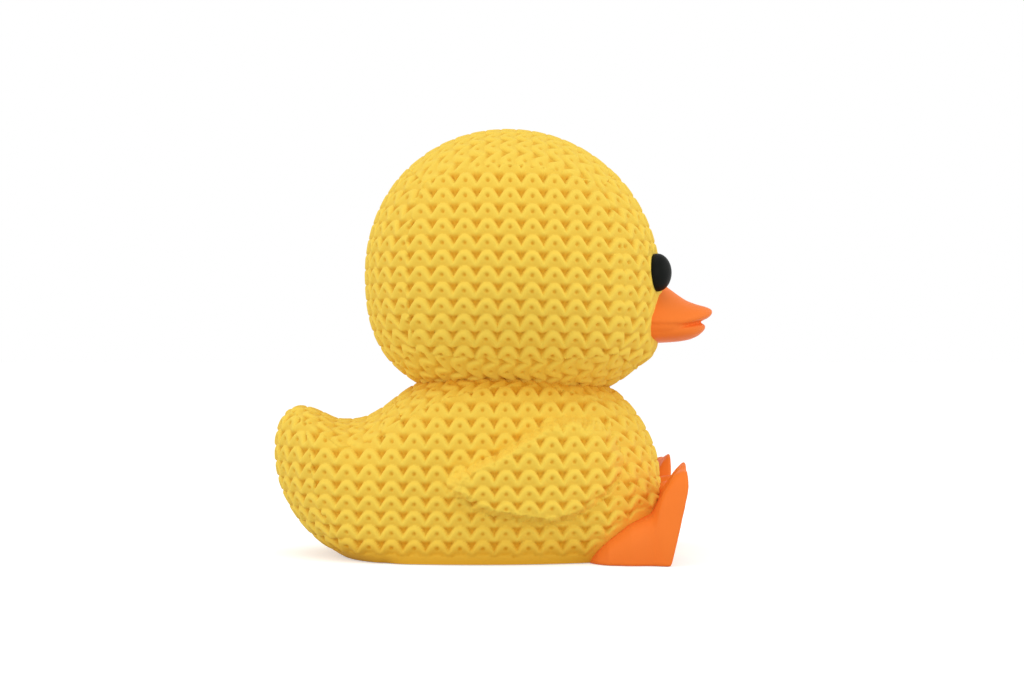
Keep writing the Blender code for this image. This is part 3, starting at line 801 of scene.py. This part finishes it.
def add_loft(rings):
    """A closed tube through the given rings, made from a grid that is rolled up."""
    count, around = rings.shape[:2]
    bpy.ops.mesh.primitive_grid_add(x_subdivisions=around, y_subdivisions=count - 1, size=2.0)
    obj = bpy.context.object
    flat = points_of(obj) * MM
    column = np.rint((flat[:, 0] + 1.0) * 0.5 * around).astype(int) % around
    row = np.rint((flat[:, 1] + 1.0) * 0.5 * (count - 1)).astype(int)
    put_points(obj, rings[row, column])
    bpy.ops.object.mode_set(mode="EDIT")
    bpy.ops.mesh.select_all(action="SELECT")
    bpy.ops.mesh.remove_doubles(threshold=0.000001)
    bpy.ops.mesh.select_all(action="SELECT")
    bpy.ops.mesh.fill_holes(sides=0)
    bpy.ops.mesh.select_all(action="SELECT")
    bpy.ops.mesh.normals_make_consistent(inside=False)
    bpy.ops.object.mode_set(mode="OBJECT")
    return obj


class DUCK_OT_bill(bpy.types.Operator):
    """Add the bill: an upper and a lower half that run together at the cheeks"""

    bl_idname = "duck.bill"
    bl_label = "Add Bill"

    def execute(self, context):
        deselect()
        halves = [add_loft(bill_rings(stations)) for stations in (UPPER_BILL, LOWER_BILL, CHEEKS)]
        for half in halves:
            half.select_set(True)
        bill = halves[0]
        context.view_layer.objects.active = bill
        bpy.ops.object.join()
        regrain(bill, BILL_GRAIN * MM)
        smooth = bill.modifiers.new("Soft mouth", "SMOOTH")
        smooth.iterations = MOUTH_ROUNDS
        smooth.factor = 0.5
        bpy.ops.object.modifier_apply(modifier=smooth.name)
        finish_piece(bill, "bill", orange_paint())
        return {"FINISHED"}


class DUCK_OT_eyes(bpy.types.Operator):
    """Add the two domed eyes"""

    bl_idname = "duck.eyes"
    bl_label = "Add Eyes"

    def execute(self, context):
        for side, word in ((-1.0, "right"), (1.0, "left")):
            deselect()
            bpy.ops.mesh.primitive_uv_sphere_add(segments=64, ring_count=40, radius=1.0)
            eye = context.object
            local = points_of(eye) * MM * np.array(EYE_HALF)
            turn = side * math.asin(EYE_PLACE[1] / HEAD_HALF_WIDTH)
            x = local[:, 0] * math.cos(turn) - local[:, 1] * math.sin(turn)
            y = local[:, 0] * math.sin(turn) + local[:, 1] * math.cos(turn)
            put_points(eye, np.column_stack([
                EYE_PLACE[0] + x,
                side * EYE_PLACE[1] + y,
                EYE_PLACE[2] + local[:, 2],
            ]))
            finish_piece(eye, "eye_" + word, black_paint())
        return {"FINISHED"}


def soft_least(a, b, width):
    """The smaller of two fields, blended over a width in millimetres."""
    near = np.maximum(width - np.abs(a - b), 0.0)
    return np.minimum(a, b) - 0.25 * near ** 2 / width


def soft_most(a, b, width):
    """The larger of two fields, blended over a width in millimetres."""
    return -soft_least(-a, -b, width)


def foot_field(p):
    """Zero on the skin of the left foot, negative inside."""
    x, side, z = p.T
    bend = z - 14.8
    middle_toe = np.exp(-((side - 16.0) / 6.0) ** 2) * rise(8.0, 15.0, z)
    sole = 33.0 + 0.235 * z - 0.15 * (np.sqrt(bend ** 2 + 1.0) + bend) + 0.7 * middle_toe
    out = side - FOOT_CENTRE[0]
    up = z - FOOT_CENTRE[1]
    flare = 1.0 - 0.02 * np.clip(sole - x, -1.0, 4.0)
    rim = np.hypot(out, up) - foot_radius(np.arctan2(up, out)) * flare
    back = np.interp(z, WEB_BACK_Z, WEB_BACK_X) + 1.3 * middle_toe - x
    web = soft_most(back, rim, 1.2)
    top = 0.75 * (z - np.interp(x, HEEL_X, HEEL_TOP))
    wall = side - np.interp(x, HEEL_X, HEEL_SIDE) + 0.02 * (z - 3.0) ** 2 - 0.3
    heel = soft_most(soft_most(top, wall, 3.2), 7.0 - side, 1.0)
    both = soft_most(soft_least(web, heel, 1.8), x - sole, 0.6)
    return soft_most(both, -z, 0.5)


class DUCK_OT_feet(bpy.types.Operator):
    """Add the two webbed feet, which stand on their heels"""

    bl_idname = "duck.feet"
    bl_label = "Add Feet"

    def execute(self, context):
        for side, word in ((-1.0, "right"), (1.0, "left")):
            self.add_foot(context, side, "foot_" + word)
        return {"FINISHED"}

    def add_foot(self, context, side, name):
        """Add one foot: side is 1 for the left and -1 for the right."""
        deselect()
        bpy.ops.mesh.primitive_uv_sphere_add(segments=200, ring_count=100, radius=1.0)
        foot = context.object
        directions = unit(points_of(foot) * MM)

        def skin(p):
            """Zero on this foot's skin, negative inside."""
            return foot_field(p * (1.0, side, 1.0))

        put_points(foot, onto_skin(skin, directions, (33.3, side * 15.5, 6.0)))
        regrain(foot, FOOT_GRAIN * MM)
        settle(foot, skin)
        finish_piece(foot, name, orange_paint())


class DUCK_OT_base(bpy.types.Operator):
    """Add the flat base with its air hole"""

    bl_idname = "duck.base"
    bl_label = "Add Base"

    def execute(self, context):
        deselect()
        bpy.ops.mesh.primitive_circle_add(vertices=BASE_POINTS, radius=1.0, fill_type="NGON")
        base = context.object
        turn = np.linspace(0.0, TURN, BASE_POINTS + 1)[:-1]
        directions = np.column_stack([np.cos(turn), np.sin(turn), np.zeros(BASE_POINTS)])
        rim = onto_skin(winged_field, directions, (0.0, 0.0, 0.0))
        put_points(base, rim - BASE_INSET * directions + np.array((0.0, 0.0, BASE_LEVEL)))
        bpy.ops.object.mode_set(mode="EDIT")
        bpy.ops.mesh.select_all(action="SELECT")
        upwards = (0.0, 0.0, BASE_THICKNESS * MM)
        bpy.ops.mesh.extrude_region_move(TRANSFORM_OT_translate={"value": upwards})
        bpy.ops.mesh.select_all(action="SELECT")
        bpy.ops.mesh.normals_make_consistent(inside=False)
        bpy.ops.object.mode_set(mode="OBJECT")
        bpy.ops.mesh.primitive_cylinder_add(vertices=48, radius=AIR_HOLE_RADIUS * MM, depth=0.012)
        bore = context.object
        context.view_layer.objects.active = base
        cut = base.modifiers.new("Air hole", "BOOLEAN")
        cut.operation = "DIFFERENCE"
        cut.solver = "EXACT"
        cut.object = bore
        bpy.ops.object.modifier_apply(modifier=cut.name)
        bpy.data.objects.remove(bore)
        base.select_set(True)
        finish_piece(base, "base", yellow_vinyl())
        bpy.ops.object.shade_smooth_by_angle(angle=math.radians(40.0))
        return {"FINISHED"}


class DUCK_OT_stage(bpy.types.Operator):
    """Add the floor, the lamps, the white room and the camera"""

    bl_idname = "duck.stage"
    bl_label = "Add Stage"

    def execute(self, context):
        stage = context.scene.duck_stage
        deselect()
        bpy.ops.mesh.primitive_plane_add(size=8.0, location=(0.0, 0.0, -0.00005))
        floor = context.object
        floor.name = "floor"
        floor.data.materials.append(self.floor_paper())
        self.add_lamp("top_lamp", (0.0, -0.20, 0.75), stage.lamp_size, stage.top_power)
        self.add_lamp("front_lamp", (0.15, -0.80, 0.15), stage.lamp_size, stage.front_power)
        self.add_lamp("right_lamp", (0.70, -0.15, 0.25), stage.lamp_size, stage.right_power)
        self.add_lamp("left_lamp", (-0.70, -0.15, 0.25), stage.lamp_size, stage.left_power)
        self.white_room(stage.room_light)
        self.add_camera(context)
        context.scene.view_settings.view_transform = "Standard"
        return {"FINISHED"}

    def floor_paper(self):
        """White paper that glows for the camera and is grey to what it lights."""
        material = bpy.data.materials.new("floor_paper")
        material.use_nodes = True
        nodes = material.node_tree.nodes
        links = material.node_tree.links
        shader = nodes["Principled BSDF"]
        shader.inputs["Base Color"].default_value = (FLOOR_WHITE, FLOOR_WHITE, FLOOR_WHITE, 1.0)
        shader.inputs["Roughness"].default_value = 1.0
        shader.inputs["Specular IOR Level"].default_value = 0.0
        glow = nodes.new("ShaderNodeEmission")
        glow.inputs["Strength"].default_value = FLOOR_GLOW
        lit = nodes.new("ShaderNodeAddShader")
        grey = nodes.new("ShaderNodeBsdfDiffuse")
        grey.inputs["Color"].default_value = (FLOOR_GREY, FLOOR_GREY, FLOOR_GREY, 1.0)
        mix = nodes.new("ShaderNodeMixShader")
        links.new(shader.outputs[0], lit.inputs[0])
        links.new(glow.outputs[0], lit.inputs[1])
        links.new(self.seen_rays(material.node_tree), mix.inputs[0])
        links.new(grey.outputs[0], mix.inputs[1])
        links.new(lit.outputs[0], mix.inputs[2])
        links.new(mix.outputs[0], nodes["Material Output"].inputs["Surface"])
        return material

    def seen_rays(self, tree):
        """1 for rays from the camera, mirrored or through glass, where the white shows."""
        path = tree.nodes.new("ShaderNodeLightPath")
        first = tree.nodes.new("ShaderNodeMath")
        first.operation = "MAXIMUM"
        both = tree.nodes.new("ShaderNodeMath")
        both.operation = "MAXIMUM"
        tree.links.new(path.outputs["Is Camera Ray"], first.inputs[0])
        tree.links.new(path.outputs["Is Glossy Ray"], first.inputs[1])
        tree.links.new(first.outputs[0], both.inputs[0])
        tree.links.new(path.outputs["Is Transmission Ray"], both.inputs[1])
        return both.outputs[0]

    def add_lamp(self, name, place, size, power):
        """Add a square lamp that is aimed at the middle of the duck."""
        bpy.ops.object.light_add(type="AREA", location=place)
        lamp = bpy.context.object
        lamp.name = name
        lamp.data.size = size
        lamp.data.energy = power
        aim = np.array((0.0, 0.0, 0.04)) - np.array(place)
        lamp.rotation_euler = Vector(aim).to_track_quat("-Z", "Y").to_euler()

    def white_room(self, strength):
        """A room that looks pure white and gives an even light of some strength."""
        world = bpy.data.worlds.new("white_room")
        bpy.context.scene.world = world
        world.use_nodes = True
        nodes = world.node_tree.nodes
        links = world.node_tree.links
        nodes.clear()
        output = nodes.new("ShaderNodeOutputWorld")
        seen = nodes.new("ShaderNodeBackground")
        seen.inputs["Strength"].default_value = 1.0
        seen.inputs["Color"].default_value = (1.0, 1.0, 1.0, 1.0)
        light = nodes.new("ShaderNodeBackground")
        light.inputs["Strength"].default_value = strength
        light.inputs["Color"].default_value = (1.0, 1.0, 1.0, 1.0)
        mix = nodes.new("ShaderNodeMixShader")
        links.new(self.seen_rays(world.node_tree), mix.inputs[0])
        links.new(light.outputs[0], mix.inputs[1])
        links.new(seen.outputs[0], mix.inputs[2])
        links.new(mix.outputs[0], output.inputs[0])

    def add_camera(self, context):
        """Add the level camera that the photograph was taken with."""
        angle = math.radians(CAMERA_AZIMUTH)
        target = np.array(CAMERA_TARGET) * MM
        away = np.array((math.sin(angle), -math.cos(angle), 0.0)) * CAMERA_DISTANCE * MM
        bpy.ops.object.camera_add(location=target + away, rotation=(0.5 * math.pi, 0.0, angle))
        camera = context.object
        camera.data.lens = CAMERA_LENS
        camera.data.sensor_width = 36.0
        camera.data.clip_start = 0.01
        context.scene.camera = camera


class DUCK_PT_panel(bpy.types.Panel):
    """The duck's sizes, colours and pieces"""

    bl_idname = "DUCK_PT_panel"
    bl_label = "Rubber Duck"
    bl_space_type = "VIEW_3D"
    bl_region_type = "UI"
    bl_category = "Duck"

    def draw(self, context):
        """Show every value and a button for each piece."""
        for group in (context.scene.duck_knit, context.scene.duck_paint, context.scene.duck_stage):
            box = self.layout.box()
            for name in group.__annotations__:
                box.prop(group, name)
        for operator in OPERATORS:
            self.layout.operator(operator.bl_idname)


GROUPS = (DuckKnit, DuckPaint, DuckStage)
OPERATORS = (
    DUCK_OT_head,
    DUCK_OT_body,
    DUCK_OT_bill,
    DUCK_OT_eyes,
    DUCK_OT_feet,
    DUCK_OT_base,
    DUCK_OT_stage,
)


def register():
    """Add the duck's panel and its values to Blender."""
    for entry in (*GROUPS, *OPERATORS, DUCK_PT_panel):
        bpy.utils.register_class(entry)
    bpy.types.Scene.duck_knit = bpy.props.PointerProperty(type=DuckKnit)
    bpy.types.Scene.duck_paint = bpy.props.PointerProperty(type=DuckPaint)
    bpy.types.Scene.duck_stage = bpy.props.PointerProperty(type=DuckStage)


def unregister():
    """Take the duck's panel and its values out of Blender."""
    del bpy.types.Scene.duck_stage
    del bpy.types.Scene.duck_paint
    del bpy.types.Scene.duck_knit
    for entry in (DUCK_PT_panel, *reversed(OPERATORS), *reversed(GROUPS)):
        bpy.utils.unregister_class(entry)


def main():
    """Build the duck and its studio."""
    register()
    bpy.ops.duck.head()
    bpy.ops.duck.body()
    bpy.ops.duck.bill()
    bpy.ops.duck.eyes()
    bpy.ops.duck.feet()
    bpy.ops.duck.base()
    bpy.ops.duck.stage()


if __name__ == "__main__":
    main()
